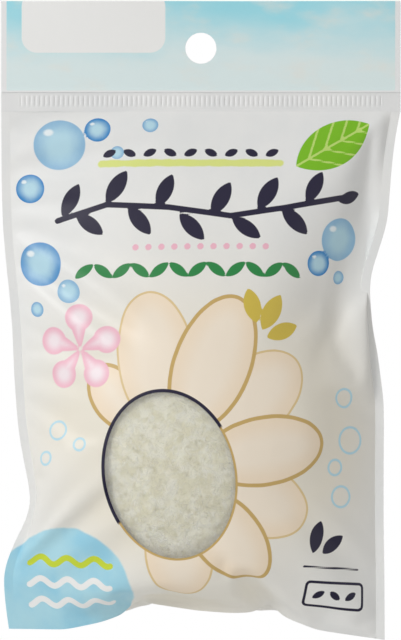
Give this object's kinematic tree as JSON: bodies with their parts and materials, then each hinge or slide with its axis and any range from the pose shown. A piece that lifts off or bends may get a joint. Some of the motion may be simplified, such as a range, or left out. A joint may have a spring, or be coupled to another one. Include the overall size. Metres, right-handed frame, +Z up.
{
  "type": "konjac sponge in a hanging film pouch",
  "caption": "Oval konjac face sponge sealed in a bulging printed film pouch with a clear oval window, a ribbed crimp seal and a flat header with a round hang hole.",
  "frame": {"origin": "centre of the hang hole, midway between the header's two films", "axes": "+X to the right of someone facing the pack, +Y to its back, +Z up; the front faces -Y"},
  "size_m": [0.1034, 0.0368, 0.1652],
  "materials": {
    "printed_film": "glossy white film printed in soft blues, peach and green",
    "white_film": "glossy opaque white film",
    "clear_film": "glossy clear film",
    "konjac_foam": "matt, porous, off-white plant-fibre foam"
  },
  "bodies": {
    "header": {"header_front": "printed_film", "header_back": "white_film"},
    "pouch": {"crimp_seal": "white_film", "front_film": "printed_film", "clear_window": "clear_film", "back_film": "white_film", "left_seal": "white_film", "right_seal": "white_film"},
    "sponge": {"sponge": "konjac_foam"}
  },
  "joints": [
    {"name": "header_fold", "type": "hinge", "parent": "header", "child": "pouch", "pos_m": [0, 0, -0.0112], "axis": [1, 0, 0], "range_deg": [-90, 90]},
    {"name": "sponge_shift", "type": "slide", "parent": "pouch", "child": "sponge", "axis": [0, 0, 1], "range_m": [0, 0.005]}
  ]
}
